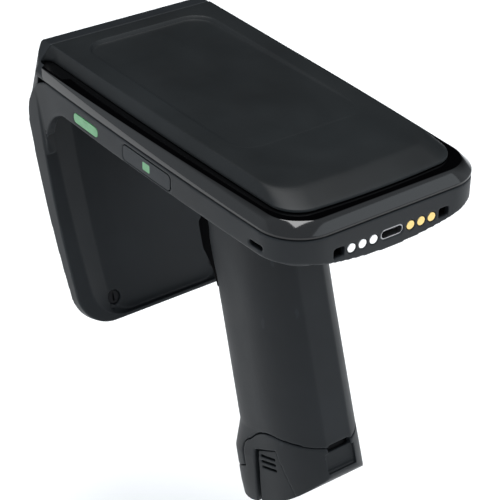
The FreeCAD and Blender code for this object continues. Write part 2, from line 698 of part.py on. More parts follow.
def base_profile(gap):
    """The battery base seen from the side: a wavy top edge that dips at the nose, and a slanting foot."""
    end = size("base_length")
    return down_profile([(40, 119.7 + gap), (10.7 - gap, 110.3 + gap), (10.7 - gap, 105),
                         ((10.0, 101.2 + gap), (6, 98.8 + gap)), ((-1, 94.9 + gap), (-8, 94.3 + gap)),
                         ((-17, 96.8 + gap), (-26, 100 + gap)), (-40, 100 + gap), (-40, 108.4), (-24.7, 108.4),
                         ((-23.8, 110.7), (-21.6, 112.5)), ((-10.5, 118.9), (0, 122.2)),
                         ((9, end - 1.9), (17, end - 1.8)), ((25, end - 4), (29.5, end - 8.5)),
                         (40, end - 5.5), (40, 119.7 + gap)])


def trigger_slot():
    half = size("trigger_half_width") + size("trigger_gap")
    return around(0, 29, -26.75, 2 * half, 50, 42.5)


def trigger_notch():
    """The scoop in the grip's sides round the trigger."""
    return down_profile([(45, 10), (13, 10), (13, 19), ((15.4, 23), (18.6, 25)), ((20, 27), (18.8, 29.4)),
                         ((14.4, 35), (14.2, 41)), (16.5, 45.5), (45, 47.5), (45, 10)])


def trigger_cheeks():
    """Solid walls each side of the trigger, with the end walls of its slot."""
    return grip_column(0.5, 2, 50).common(around(0, 17, -26.5, 60, 22, 47))


def lanyard_slot():
    return around(0, -size("grip_rear"), -size("lanyard_down"), size("lanyard_wide"), 8, size("lanyard_tall"),
                  1.2, "Y")


def above_belly():
    box = Part.makeBox(FAR, FAR, FAR, Vector(-FAR / 2, -FAR / 2, size("belly_height")))
    return placed(box, GRIP.inverse())


def grip_shell():
    wall = size("grip_wall")
    body = grip_column(0, -14, 120)
    roof = placed(around(0, 0, 0, FAR, FAR, 2 * 4.0), GRIP.inverse().multiply(
        Placement(Vector(0, size("grip_y"), size("belly_height")), Rotation())))
    hollow = grip_column(wall, -20, 125).cut(roof)
    below = down_profile([(10.9, 104), (10.9, 110.3), (40, 119.6), (40, 135), (-40, 135), (-40, 104),
                          (10.9, 104)])
    body = body.cut(hollow).fuse(trigger_cheeks())
    body = body.cut([base_profile(-size("slide_gap")), below, above_belly(), trigger_slot(), trigger_notch(),
                     lanyard_slot()])
    half = size("pin_half_length")
    body = body.cut(rod(-half, size("pivot_fore"), -size("pivot_down"), size("pin_radius"), 2 * half,
                        Vector(1, 0, 0)))
    body = placed(body, GRIP)
    for x, y in grip_screw_places():
        body = body.cut(rod(x, y, size("belly_height") - 8, size("screw_shank"), 9, Vector(0, 0, 1)))
    body = body.cut(rod(0, size("grip_y"), size("belly_height") - 9, 5.0, 10, Vector(0, 0, 1)))
    return feature("grip_shell", body)


def grip_screws():
    floor = size("belly_height") + size("wall")
    screws = []
    for x, y in grip_screw_places():
        head = rod(x, y, floor, size("screw_head") - 0.4, 1.8, Vector(0, 0, 1))
        screws.append(head.fuse(rod(x, y, floor - 5.8, size("screw_shank"), 5.9, Vector(0, 0, 1))))
    return feature("grip_screws", Part.makeCompound(screws))


def trigger():
    """The trigger lever: a hub round its pin, a hooked finger face and a thin tail along the grip."""
    body = down_profile([(12, 6.8), (27.5, 6.8), ((27.4, 13), (29.4, 20)), ((33.3, 26.4), (32, 31.6)),
                         ((28.4, 37), (26.2, 46.2)), (12, 46.2), (12, 6.8)],
                        size("trigger_half_width"))
    body = body.common(around(0, 21.8, -27, 2 * size("trigger_half_width"), 24, 44, 4.0, "Z"))
    body = body.cut(rod(-20, size("pivot_fore"), -size("pivot_down"), size("pin_radius") + size("pin_fit"), 40,
                        Vector(1, 0, 0)))
    return feature("trigger", body, GRIP)


def trigger_pin():
    half = size("pin_half_length")
    pin = DOC.addObject("Part::Cylinder", "trigger_pin")
    pin.Label = "trigger_pin"
    pin.setExpression("Radius", "Sizes.pin_radius")
    pin.setExpression("Height", "2 * Sizes.pin_half_length")
    pin.Placement = GRIP.multiply(Placement(Vector(-half, size("pivot_fore"), -size("pivot_down")),
                                            Rotation(Vector(0, 1, 0), 90)))
    return pin


def trigger_spring():
    """A coil of the return spring on each side of the trigger's hub, round its pin."""
    fore, down, wire = size("pivot_fore"), size("pivot_down"), size("spring_wire")
    x = size("trigger_half_width") + size("trigger_gap") / 2
    coils = [Part.makeTorus(size("pin_radius") + 1.6 * wire, wire / 2, Vector(side * x, fore, -down),
                            Vector(1, 0, 0)) for side in (-1, 1)]
    return feature("trigger_spring", Part.makeCompound(coils), GRIP)


def trigger_switch():
    return bound_block("trigger_switch", "micro_wide", "micro_long", "micro_tall", (0, 7.0, -18.0), GRIP)


def battery_dock():
    """The block at the head of the battery well that carries the spring contacts."""
    foot = -size("case_top") + 5.0
    block = prism(grip_section(size("grip_wall") + 0.05, foot), Vector(0, 0, 6))
    return feature("battery_dock", block.cut(around(0, 25.5, foot, 60, 40, 20)), GRIP)


def grip_harness():
    """The wiring from the battery well up to the main board."""
    start = GRIP.multVec(Vector(0, -6.0, -size("case_top") + 11.8))
    end = Vector(0, size("grip_y"), size("board_z") - size("board_thick") / 2)
    middle = Vector(0, size("grip_y"), size("belly_height") - 2)
    lower = Part.makeCylinder(2.0, (middle - start).Length, start, middle - start)
    upper = Part.makeCylinder(2.0, (end - middle).Length, middle, end - middle)
    return feature("grip_harness", lower.fuse([Part.makeSphere(2.0, middle), upper]))


# ---------------------------------------------------------------- battery

def case_column(inset, top, end):
    """The battery case follows the inside of the grip and stops flat behind the trigger."""
    column = prism(grip_section(size("grip_wall") + size("slide_gap") + inset, -end), Vector(0, 0, end - top))
    front = size("case_front") - inset
    return column.cut(around(0, front + 20, -(end + top) / 2, 60, 40, end - top + 2))


def battery_case():
    wall = size("case_wall")
    top, end = size("case_top"), size("case_end")
    body = case_column(0, top, end).cut(case_column(wall, top + wall, end + 1))
    body = body.cut([latch_pocket(side) for side in (-1, 1)])
    for x in contact_offsets():
        body = body.cut(rod(x, -6.0, -top - 2 * wall, 1.4, 3 * wall, Vector(0, 0, 1)))
    return feature("battery_case", body, GRIP)


def contact_offsets():
    return (-6.0, -2.0, 2.0, 6.0)


def battery_contacts():
    top = size("case_top")
    pads = [rod(x, -6.0, -top - 2.4, 1.4, 2.3, Vector(0, 0, 1)) for x in contact_offsets()]
    return feature("battery_contacts", Part.makeCompound(pads), GRIP)


def dock_pins():
    level = -size("case_top") + 0.25
    pins = [rod(x, -6.0, level, 0.9, 4.75, Vector(0, 0, 1)) for x in contact_offsets()]
    return feature("dock_pins", Part.makeCompound(pins), GRIP)


def battery_cells():
    radius, gap = size("cell_radius"), 0.25
    rear = size("cell_rear")
    cells = [rod(0, rear + step * (2 * radius + gap), -size("cell_top") - size("cell_length"), radius,
                 size("cell_length"), Vector(0, 0, 1)) for step in range(2)]
    return feature("battery_cells", Part.makeCompound(cells), GRIP)


def latch_profile(grow, fore=0.0):
    """Side outline of a latch: narrow at its ribbed top and wider towards the foot."""
    top, end = size("latch_top") - grow, size("latch_end") + grow
    front = 2.3 + grow + fore
    return down_profile([(front, top), (front + 3.8, end), (-18.4 - grow, end), (-7.6 - grow, top - 2),
                         (front, top)])


def side_ring(near, far, side):
    """The grip's form between two insets from its surface, on one side."""
    top, end = 94, size("base_length") + 2
    ring = grip_column(near, top, end).cut(grip_column(far, top, end))
    return ring.common(around(side * 30, 0, -110, 60, 80, 60))


def latch_pocket(side):
    """The recess that a latch slides in, deep enough for its travel."""
    deep = 0.8 + size("latch_thick") + size("latch_travel") + 0.4
    return latch_profile(0.5, 0.9).common(side_ring(-2, deep, side))


def battery_base():
    end = size("base_length")
    outer = grip_column(0, 80, end + 2).common(base_profile(0))
    hollow = case_column(0, 80, size("case_end")).fuse(
        grip_column(size("grip_wall") + 0.6, 80, 101).cut(around(0, 40, -90, 60, 56, 60)))
    outer = outer.cut([hollow, lanyard_slot()])
    outer = outer.cut([latch_pocket(side) for side in (-1, 1)])
    panel = around(0, -size("grip_rear"), -105.2, 12.5, 1.6, 8.0, 0.6, "Y")
    return feature("battery_base", outer.cut(panel).removeSplitter(), GRIP)


def latch(label, side):
    body = latch_profile(0).common(side_ring(0.8, 0.8 + size("latch_thick"), side)).common(base_profile(0))
    for step in range(3):
        level = -(size("latch_top") + 1.6 + 2.2 * step)
        groove = around(side * size("grip_half_width"), -2.6, level, 3.8, 8.0, 0.9)
        body = body.cut(groove)
    return feature(label, body, GRIP)


# ---------------------------------------------------------------- document

def failed(nodes):
    """Names of document objects or sub-parts that did not build."""
    broken = [obj.Name for obj in DOC.Objects if {"Invalid", "Error"} & set(obj.State)]
    return broken + [node.Label for node in nodes if node.Shape.isNull() or not node.Shape.isValid()]


def main():
    nodes = [head_tray(), front_housing(), bezel_ring(), top_cover(), cover_gasket(), light_bar(), side_key(),
             key_window(), contact_block(), contact_pads("contacts_left", -1), contact_pads("contacts_right", 1),
             usb_shell(), usb_tongue(), main_board(), shield_can(), bluetooth_module(), buzzer(), key_switch(),
             board_posts(), board_screws(), antenna_plate(), antenna_foam(), antenna_patch(), antenna_coax(),
             antenna_screws(),
             grip_shell(), grip_screws(), grip_harness(), trigger(), trigger_pin(), trigger_spring(),
             trigger_switch(), battery_dock(), dock_pins(), battery_case(), battery_contacts(), battery_cells(),
             battery_base(), latch("latch_left", -1), latch("latch_right", 1)]
    DOC.recompute()
    broken = failed(nodes)
    if broken:
        raise SystemExit("not built: " + ", ".join(broken))
    os.makedirs("parts", exist_ok=True)
    for node in nodes:
        node.Shape.exportStep(f"parts/{node.Label}.step")
        box = node.Shape.BoundBox
        print(f"{node.Label:22s} solids {len(node.Shape.Solids)}  volume {node.Shape.Volume:9.0f}  "
              f"x {box.XMin:6.1f} {box.XMax:6.1f}  y {box.YMin:6.1f} {box.YMax:6.1f}  "
              f"z {box.ZMin:6.1f} {box.ZMax:6.1f}")


main()
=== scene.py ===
import json
import math

import bmesh
import bpy
from mathutils import Matrix, Vector


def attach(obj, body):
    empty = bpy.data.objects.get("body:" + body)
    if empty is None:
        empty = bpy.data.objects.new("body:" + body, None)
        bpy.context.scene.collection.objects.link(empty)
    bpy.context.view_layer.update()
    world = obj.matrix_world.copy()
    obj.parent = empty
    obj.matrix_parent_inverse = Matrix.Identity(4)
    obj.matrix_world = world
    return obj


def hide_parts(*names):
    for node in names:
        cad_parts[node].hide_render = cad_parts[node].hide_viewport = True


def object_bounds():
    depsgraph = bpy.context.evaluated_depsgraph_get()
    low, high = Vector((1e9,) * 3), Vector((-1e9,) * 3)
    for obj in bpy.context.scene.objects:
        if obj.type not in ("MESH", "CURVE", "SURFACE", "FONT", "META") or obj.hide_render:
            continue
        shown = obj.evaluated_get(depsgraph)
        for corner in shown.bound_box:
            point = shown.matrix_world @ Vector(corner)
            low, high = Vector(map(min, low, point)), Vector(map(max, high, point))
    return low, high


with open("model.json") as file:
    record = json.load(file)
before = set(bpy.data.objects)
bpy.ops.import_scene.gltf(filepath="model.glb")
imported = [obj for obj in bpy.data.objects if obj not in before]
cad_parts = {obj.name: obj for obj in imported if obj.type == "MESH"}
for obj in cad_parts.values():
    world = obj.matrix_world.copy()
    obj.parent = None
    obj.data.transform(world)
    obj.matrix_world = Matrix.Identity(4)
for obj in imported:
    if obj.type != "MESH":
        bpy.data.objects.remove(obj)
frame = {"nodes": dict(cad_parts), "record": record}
cad_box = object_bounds()
MM = 0.001


# ---------------------------------------------------------------- camera, light and floor

VIEW_BEARING, VIEW_HEIGHT, VIEW_ROLL = -37.25, 31.41, 1.02    # degrees
VIEW_TARGET, VIEW_DISTANCE = (0, 73.2, -42.8), 599.8          # mm
FOCAL_LENGTH, SENSOR = 120.06, 36                             # mm
VIEW_SHIFT = (-0.0045, -0.0015)

# The tent darkens towards this direction, given in the world's Generated coordinates.
TENT_DARK_SIDE = (0.52, 0.68, 0.52)
TENT_PALE_UNTIL, TENT_PALE = 0.5, (0.70, 0.75, 0.80, 1)
TENT_DARK_FROM, TENT_DARK = 0.78, (0.004, 0.004, 0.005, 1)

LIT_CENTRE = (0, 0.07, -0.05)                                 # metres
WHITE, COOL_WHITE = (1, 1, 1), (0.88, 0.95, 1)
# name, place and size in metres, power in watts, colour
LIGHTS = (
    ("overhead", (0, 0.0, 2.2), (1.5, 1.5), 60, WHITE),
    ("left_box", (-1.5, 1.1, 0.7), (1.8, 1.3), 1.3, COOL_WHITE),
    ("right_box", (0.9, -1.5, 1.0), (1.8, 1.4), 8, COOL_WHITE),
)

FLOOR_REACH, FLOOR_DROP = 6.0, 0.09                           # metres
FLOOR_COLOUR = (0.93, 0.93, 0.93, 1)


def camera():
    """A long lens at the photograph's angle: the bearing and height are those of its perspective."""
    azimuth, elevation, roll = (math.radians(a) for a in (VIEW_BEARING, VIEW_HEIGHT, VIEW_ROLL))
    forward = Vector((-math.sin(azimuth) * math.cos(elevation), math.cos(azimuth) * math.cos(elevation),
                      -math.sin(elevation)))
    level = forward.cross(Vector((0, 0, 1))).normalized()
    upright = level.cross(forward)
    right = level * math.cos(roll) + upright * math.sin(roll)
    up = upright * math.cos(roll) - level * math.sin(roll)
    data = bpy.data.cameras.new("photo_camera")
    data.lens, data.sensor_width = FOCAL_LENGTH, SENSOR
    data.shift_x, data.shift_y = VIEW_SHIFT
    data.clip_start, data.clip_end = 0.01, 50
    lens = bpy.data.objects.new("photo_camera", data)
    bpy.context.scene.collection.objects.link(lens)
    place = Matrix((right, up, -forward)).transposed().to_4x4()
    place.translation = Vector(VIEW_TARGET) * MM - forward * (VIEW_DISTANCE * MM)
    lens.matrix_world = place
    bpy.context.scene.camera = lens


def area_light(name, place, size, power, colour):
    data = bpy.data.lights.new(name, "AREA")
    data.shape, data.energy, data.color = "RECTANGLE", power, colour
    data.size, data.size_y = size
    lamp = bpy.data.objects.new(name, data)
    lamp.location = place
    lamp.rotation_euler = (Vector(LIT_CENTRE) - Vector(place)).to_track_quat("-Z", "Y").to_euler()
    bpy.context.scene.collection.objects.link(lamp)


def studio():
    """A pale tent with one dark side, which the flat gloss surfaces mirror, under a soft overhead light."""
    world = bpy.data.worlds.new("studio")
    bpy.context.scene.world = world
    world.use_nodes = True
    nodes, links = world.node_tree.nodes, world.node_tree.links
    place = nodes.new("ShaderNodeTexCoord").outputs["Generated"]
    towards = nodes.new("ShaderNodeVectorMath")
    towards.operation = "DOT_PRODUCT"
    towards.inputs[1].default_value = TENT_DARK_SIDE
    links.new(place, towards.inputs[0])
    tent = nodes.new("ShaderNodeValToRGB")
    pale, dark = tent.color_ramp.elements
    pale.position, pale.color = TENT_PALE_UNTIL, TENT_PALE
    dark.position, dark.color = TENT_DARK_FROM, TENT_DARK
    links.new(towards.outputs["Value"], tent.inputs["Fac"])
    links.new(tent.outputs["Color"], nodes["Background"].inputs["Color"])
    nodes["Background"].inputs["Strength"].default_value = 1.0
    bpy.context.scene.view_settings.view_transform = "Standard"
    for name, place, size, power, colour in LIGHTS:
        area_light(name, place, size, power, colour)


def floor():
    """A plain pale floor. It lies below the battery's full travel, so that a pulled battery shows."""
    low, reach = cad_box[0][2] - FLOOR_DROP, FLOOR_REACH
    mesh = bpy.data.meshes.new("studio_floor")
    mesh.from_pydata([(-reach, -reach, low), (reach, -reach, low), (reach, reach, low), (-reach, reach, low)],
                     [], [(0, 1, 2, 3)])
    ground = bpy.data.objects.new("studio_floor", mesh)
    bpy.context.scene.collection.objects.link(ground)
    material = bpy.data.materials.new("pale_floor")
    material.use_nodes = True
    shader = material.node_tree.nodes["Principled BSDF"]
    shader.inputs["Base Color"].default_value = FLOOR_COLOUR
    shader.inputs["Roughness"].default_value = 0.9
    shader.inputs["Specular IOR Level"].default_value = 0.1
    mesh.materials.append(material)


# ---------------------------------------------------------------- materials

# Edges are worn between these two values of pointiness: untouched at the first, polished at the second.
EDGE_STARTS, EDGE_FULL = 0.515, 0.56
# Noise scales, in cycles per metre.
CLOUD_SCALE, MATT_SCALE, SPARK_SCALE = 28, 60, 1800
SMEAR_SCALE, POLISH_SCALE, SCUFF_SCALE = 35, 90, 900
METAL_SCALE, LENS_SCALE, FROST_SCALE, TRACK_SCALE, CREASE_SCALE = 400, 300, 2500, 500, 220


# A moulding's cloudy darker and paler tones and its rubbed edges, as shares of its colour.
CLOUD_DARK, CLOUD_PALE, RUBBED = 0.78, 1.35, 2.8
ROUGHNESS_SPREAD, SPARK_STRENGTH = 0.06, 0.55


def scaled(colour, factor, added=0.0):
    return tuple(min(1, c * factor + added) for c in colour)


class Surface:
    """A node material on the Principled shader, with helpers for its noise, ramps and bump."""

    def __init__(self, name, rough, metal=0.0, specular=0.5, coat=0.0):
        self.material = bpy.data.materials.new(name)
        self.material.use_nodes = True
        self.nodes, self.links = self.material.node_tree.nodes, self.material.node_tree.links
        self.shader = self.nodes["Principled BSDF"]
        self.shader.inputs["Roughness"].default_value = rough
        self.shader.inputs["Metallic"].default_value = metal
        self.shader.inputs["Specular IOR Level"].default_value = specular
        self.shader.inputs["Coat Weight"].default_value = coat
        self.place = self.nodes.new("ShaderNodeTexCoord").outputs["Object"]

    def noise(self, scale, detail, stretch=None):
        texture = self.nodes.new("ShaderNodeTexNoise")
        texture.inputs["Scale"].default_value = scale
        texture.inputs["Detail"].default_value = detail
        source = self.place
        if stretch:
            mapping = self.nodes.new("ShaderNodeMapping")
            mapping.inputs["Scale"].default_value = stretch
            self.links.new(source, mapping.inputs["Vector"])
            source = mapping.outputs["Vector"]
        self.links.new(source, texture.inputs["Vector"])
        return texture.outputs["Fac"]

    def ramp(self, source, start, first, stop, last):
        """A blend from the first colour to the last as the source goes from start to stop."""
        ramp = self.nodes.new("ShaderNodeValToRGB")
        for element, place, colour in zip(ramp.color_ramp.elements, (start, stop), (first, last)):
            element.position = place
            element.color = (*colour, 1)
        self.links.new(source, ramp.inputs["Fac"])
        return ramp.outputs["Color"]

    def span(self, source, low, high):
        spread = self.nodes.new("ShaderNodeMapRange")
        spread.inputs["To Min"].default_value = low
        spread.inputs["To Max"].default_value = high
        self.links.new(source, spread.inputs["Value"])
        return spread.outputs["Result"]

    def worn(self, source, polished, amount):
        """The source colour, with the polished one on outward edges, where handling rubs them."""
        edges = self.nodes.new("ShaderNodeNewGeometry").outputs["Pointiness"]
        share = self.ramp(edges, EDGE_STARTS, (0.0, 0.0, 0.0), EDGE_FULL, (amount, amount, amount))
        mix = self.nodes.new("ShaderNodeMix")
        mix.data_type = "RGBA"
        self.links.new(share, mix.inputs["Factor"])
        first, second = (socket for socket in mix.inputs if socket.type == "RGBA")
        self.links.new(source, first)
        second.default_value = (*polished, 1)
        return next(socket for socket in mix.outputs if socket.type == "RGBA")

    def bump(self, height, distance, strength):
        """Relief from a height, with its depth in millimetres."""
        bump = self.nodes.new("ShaderNodeBump")
        bump.inputs["Strength"].default_value = strength
        bump.inputs["Distance"].default_value = distance * MM
        self.links.new(height, bump.inputs["Height"])
        self.join(bump.outputs["Normal"], "Normal")

    def join(self, source, socket):
        self.links.new(source, self.shader.inputs[socket])


def moulded(name, colour, rough, depth=0.02, specular=0.25, wear=0.35):
    """Injection-moulded plastic with a fine spark texture, faintly cloudy, paler on worn edges."""
    surface = Surface(name, rough, specular=specular)
    cloud = surface.ramp(surface.noise(CLOUD_SCALE, 4), 0.3, scaled(colour, CLOUD_DARK),
                         0.72, scaled(colour, CLOUD_PALE))
    surface.join(surface.worn(cloud, scaled(colour, RUBBED), wear), "Base Color")
    matt = surface.noise(MATT_SCALE, 5)
    surface.join(surface.span(matt, rough - ROUGHNESS_SPREAD, rough + ROUGHNESS_SPREAD), "Roughness")
    surface.bump(surface.noise(SPARK_SCALE, 2), depth, SPARK_STRENGTH)
    return surface.material


def glossy(name, colour, rough):
    """Polished black plastic with faint handling smears and hairline scuffs."""
    surface = Surface(name, rough)
    smear = surface.noise(SMEAR_SCALE, 4)
    surface.join(surface.ramp(smear, 0.3, colour, 0.8, scaled(colour, 1.6)), "Base Color")
    surface.join(surface.span(surface.noise(POLISH_SCALE, 6), rough * 0.6, rough * 1.8), "Roughness")
    surface.bump(surface.noise(SCUFF_SCALE, 1, (1, 0.04, 1)), 0.003, 0.25)
    return surface.material


def metal(name, colour, rough, grain=(1, 1, 1)):
    """Bare metal whose tone and roughness vary along its grain."""
    surface = Surface(name, rough, metal=1.0)
    tone = surface.noise(METAL_SCALE, 4, grain)
    surface.join(surface.ramp(tone, 0.25, scaled(colour, 0.8), 0.75, colour), "Base Color")
    surface.join(surface.span(tone, rough * 0.7, rough * 1.3), "Roughness")
    surface.bump(tone, 0.006, 0.4)
    return surface.material


def lamp_lens(name, colour, glow):
    """Frosted light guide with a cloudy glow."""
    surface = Surface(name, 0.35, coat=0.3)
    tint = surface.ramp(surface.noise(LENS_SCALE, 3), 0.3, colour, 0.75, scaled(colour, 1.3, 0.03))
    surface.join(tint, "Base Color")
    surface.join(tint, "Emission Color")
    surface.shader.inputs["Emission Strength"].default_value = glow
    surface.bump(surface.noise(FROST_SCALE, 2), 0.01, 0.4)
    return surface.material


def board_green(name, lacquer, track):
    """Solder mask over raised tracks."""
    surface = Surface(name, 0.4)
    tracks = surface.noise(TRACK_SCALE, 1, (1, 0.2, 1))
    surface.join(surface.ramp(tracks, 0.45, lacquer, 0.55, track), "Base Color")
    surface.bump(tracks, 0.02, 0.5)
    return surface.material


def wrapped(name, colour):
    """Shrink sleeve with lengthwise creases."""
    surface = Surface(name, 0.3)
    crease = surface.noise(CREASE_SCALE, 4, (1, 1, 0.15))
    surface.join(surface.ramp(crease, 0.3, scaled(colour, 0.8), 0.7, colour), "Base Color")
    surface.bump(crease, 0.05, 0.4)
    return surface.material


LOOKS = {
    "housing": moulded("housing_black", (0.0074, 0.0091, 0.0108), 0.52),
    "cover_black": moulded("cover_black", (0.0062, 0.0076, 0.0084), 0.50, depth=0.015),
    "gloss_black": glossy("rim_gloss_black", (0.0005, 0.0005, 0.0006), 0.07),
    "gasket": moulded("gasket_rubber", (0.004, 0.004, 0.004), 0.75, wear=0.0),
    "green_lens": lamp_lens("green_lens", (0.042, 0.20, 0.068), 0.18),
    "inner_plastic": moulded("inner_plastic", (0.0022, 0.0022, 0.0026), 0.6, specular=0.15, wear=0.0),
    "silver_contact": metal("silver_contact", (0.95, 0.95, 0.94), 0.28),
    "gold_contact": metal("gold_contact", (0.90, 0.66, 0.26), 0.28),
    "steel": metal("stamped_steel", (0.42, 0.42, 0.43), 0.34, (1, 0.1, 1)),
    "dark_steel": metal("blackened_steel", (0.030, 0.030, 0.032), 0.45),
    "circuit_board": board_green("circuit_board", (0.015, 0.075, 0.04), (0.03, 0.13, 0.07)),
    "aluminium": metal("rolled_aluminium", (0.80, 0.81, 0.83), 0.35, (1, 0.08, 1)),
    "copper": metal("rolled_copper", (0.86, 0.47, 0.30), 0.32, (1, 0.08, 1)),
    # Painted shade: the trigger's colour is near-black and almost without specular, darker than the housing's
    # plastic, so that the trigger reads as the shadow it sits in.
    "trigger_black": moulded("trigger_black", (0.0005, 0.0005, 0.0008), 0.6, specular=0.02, wear=0.0),
    "cell_wrap": wrapped("cell_wrap", (0.08, 0.20, 0.42)),
}
SLOT_OF = {row["node"]: row["material_slot"] for row in frame["record"]["subparts"]}


def dress_cad_nodes():
    for name, node in frame["nodes"].items():
        node.data.materials.clear()
        node.data.materials.append(LOOKS[SLOT_OF[name]])


# ---------------------------------------------------------------- softened copies of the mouldings

# node, piece, voxel in mm, rounds of smoothing
SOFT_SHELLS = (
    ("head_tray", "tray_shell", 0.4, 6),
    ("front_housing", "antenna_radome", 0.3, 6),
    ("grip_shell", "grip_moulding", 0.4, 6),
    ("battery_base", "battery_foot", 0.35, 8),
    ("trigger", "trigger_lever", 0.35, 6),
    ("latch_left", "latch_button_left", 0.25, 3),
    ("latch_right", "latch_button_right", 0.25, 3),
)
WELD_BEFORE_REMESH, WELD_IN_LOFT = 0.002, 0.001               # mm
SMOOTHING, FACES_KEPT = 0.5, 0.3
SHELL_CREASE, COVER_CREASE, RIM_CREASE = 50, 35, 28           # degrees


def body_of(node):
    return next(body for body, nodes in frame["record"]["behaviour"]["bodies"].items() if node in nodes)


def settle(mesh, name, node, slot):
    """A finished piece that stands for a CAD node and moves with its body."""
    piece = bpy.data.objects.new(name, mesh)
    bpy.context.scene.collection.objects.link(piece)
    mesh.materials.clear()
    mesh.materials.append(LOOKS[slot])
    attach(piece, body_of(node))
    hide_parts(node)


def welded(mesh, distance, face_outwards=False):
    work = bmesh.new()
    work.from_mesh(mesh)
    bmesh.ops.remove_doubles(work, verts=work.verts, dist=distance * MM)
    if face_outwards:
        bmesh.ops.recalc_face_normals(work, faces=work.faces)
    work.to_mesh(mesh)
    work.free()


def shaded(mesh, crease):
    mesh.polygons.foreach_set("use_smooth", [True] * len(mesh.polygons))
    mesh.set_sharp_from_angle(angle=math.radians(crease))


def softened(node, name, voxel, rounds):
    """A copy of a CAD node with its sharp edges rounded off: remeshed finely, relaxed and thinned."""
    mesh = frame["nodes"][node].data.copy()
    welded(mesh, WELD_BEFORE_REMESH)
    source = bpy.data.objects.new(name, mesh)
    bpy.context.scene.collection.objects.link(source)
    remesh = source.modifiers.new("remesh", "REMESH")
    remesh.mode = "VOXEL"
    remesh.voxel_size = voxel * MM
    relax = source.modifiers.new("relax", "SMOOTH")
    relax.factor, relax.iterations = SMOOTHING, rounds
    thin = source.modifiers.new("thin", "DECIMATE")
    thin.ratio = FACES_KEPT
    graph = bpy.context.evaluated_depsgraph_get()
    result = bpy.data.meshes.new_from_object(source.evaluated_get(graph))
    result.name = name
    bpy.data.objects.remove(source)
    shaded(result, SHELL_CREASE)
    settle(result, name, node, SLOT_OF[node])


# ---------------------------------------------------------------- lofted pieces of the head, in mm

SPAN = 158.6
COUNTS = {"side": 44, "corner": 18, "rear": 25, "front_corner": 12, "front": 17}
SIDE_CROWDING = 1.6


def head_outline(half, rear, front, rear_round, front_round, taper, bow=0.0):
    """Points (x, y) round the head seen from above: bowed sides, round corners, a bowed rear edge.
    The sides' points crowd towards the front."""
    def side(y):
        return half - taper * (2 * y / SPAN - 1) ** 2

    start, stop = rear + bow + rear_round, front - front_round
    edge, end = side(start), side(stop)
    right = []
    for step in range(COUNTS["front_corner"]):
        turn = math.pi / 2 * (1 - step / COUNTS["front_corner"])
        right.append((end - front_round * (1 - math.cos(turn)), stop + front_round * math.sin(turn)))
    for step in range(COUNTS["side"]):
        y = stop + (start - stop) * (step / COUNTS["side"]) ** SIDE_CROWDING
        right.append((side(y), y))
    for step in range(COUNTS["corner"]):
        turn = math.pi / 2 * step / COUNTS["corner"]
        right.append((edge - rear_round * (1 - math.cos(turn)), start - rear_round * math.sin(turn)))
    inner = edge - rear_round
    back = []
    for step in range(COUNTS["rear"]):
        across = 1 - 2 * step / (COUNTS["rear"] - 1)
        back.append((inner * across, rear + bow * across * across))
    left = [(-x, y) for x, y in reversed(right)]
    wide = end - front_round
    face = [(wide * (2 * step / COUNTS["front"] - 1), front) for step in range(1, COUNTS["front"])]
    return right + back + left + face


def ring(outline, height):
    """The outline as points in metres, at one height or at a height that depends on y."""
    return [Vector((x, y, height(y) if callable(height) else height)) * MM for x, y in outline]


def loft(name, rings, crease, closed_loop):
    """A skin over rings of equal counts, smooth except at sharp edges: its last ring joins its first,
    or else both end rings are capped."""
    count = len(rings[0])
    points = [p for loop in rings for p in loop]
    pairs = list(zip(range(len(rings)), range(1, len(rings))))
    if closed_loop:
        pairs.append((len(rings) - 1, 0))
    faces = []
    for low, high in pairs:
        for step in range(count):
            after = (step + 1) % count
            faces.append((low * count + step, low * count + after, high * count + after, high * count + step))
    if not closed_loop:
        faces.append(tuple(reversed(range(count))))
        faces.append(tuple(range((len(rings) - 1) * count, len(rings) * count)))
    mesh = bpy.data.meshes.new(name)
    mesh.from_pydata(points, [], faces)
    welded(mesh, WELD_IN_LOFT, face_outwards=True)
    shaded(mesh, crease)
    return mesh


HEAD_FRONT, HEAD_TAPER = 149.4, 1.5

# The cover: a lip round its foot, a slope and a top that rises gently to the front.
COVER_HALF, COVER_REAR, COVER_CORNER, COVER_FRONT_CORNER = 36.1, 6.9, 10.5, 0.4
COVER_TAPER, COVER_BOW = 1.3, 1.0
LIP_LOW, LIP_MID, LIP_HIGH, SLOPE_FOOT = 12.62, 12.85, 13.3, 13.5
LIP_TUCK = 0.09
TOP_REAR, TOP_RISE = 16.65, 1.75 / SPAN
# How far in, as a share of the slope's width, and how far up, as a share of its height.
SLOPE = ((0.02, 0.05), (0.2, 0.26), (0.45, 0.53), (0.7, 0.79), (0.86, 0.93), (0.94, 0.975), (1.02, 1.0))
TOP_START = 1.3
# The slope's width at the sides, the rear and the front, and how much bow the rear edge loses on it.
SLOPE_SIDE, SLOPE_REAR, SLOPE_FRONT, SLOPE_BOW = 2.7, 10, 0.4, 0.3
# How much wider the cover is at its front, and how far its front corners turn out.
FLARE_FOOT, FLARE_GROWTH, FLARE_FRONT = 0.9, 1.7, 149.1
TURN_OUT, TURN_FADE, TURN_START, TURN_LONG = 3.4, 1.05, 145.5, 3.6
# Points of an outline nearer to the middle than this belong to its front and rear edges.
MIDDLE = 20

# The pocket in the cover's top is level with the top at its rear and deepest at its front.
RECESS_HALF, RECESS_CORNER = 26.5, 9.0
RECESS_REAR, RECESS_FRONT, RECESS_DEEP, RECESS_STEP = 45.0, 142.4, 1.5, 0.02
# Each ring's place outside the pocket's outline, its share of the way down, and a further drop.
RECESS_RINGS = ((0.9, 0.0, 0.0), (0.35, 0.0, 0.06), (0.0, 0.25, 0.0), (-0.5, 0.85, 0.0), (-1.0, 1.0, 0.0),
                (-2.0, 1.0, 0.0))


def top_level(y):
    return TOP_REAR + TOP_RISE * y


def recess_level(y):
    share = max(0.0, min(1.0, (y - RECESS_REAR) / (RECESS_FRONT - RECESS_REAR)))
    return top_level(y) - RECESS_STEP - RECESS_DEEP * share


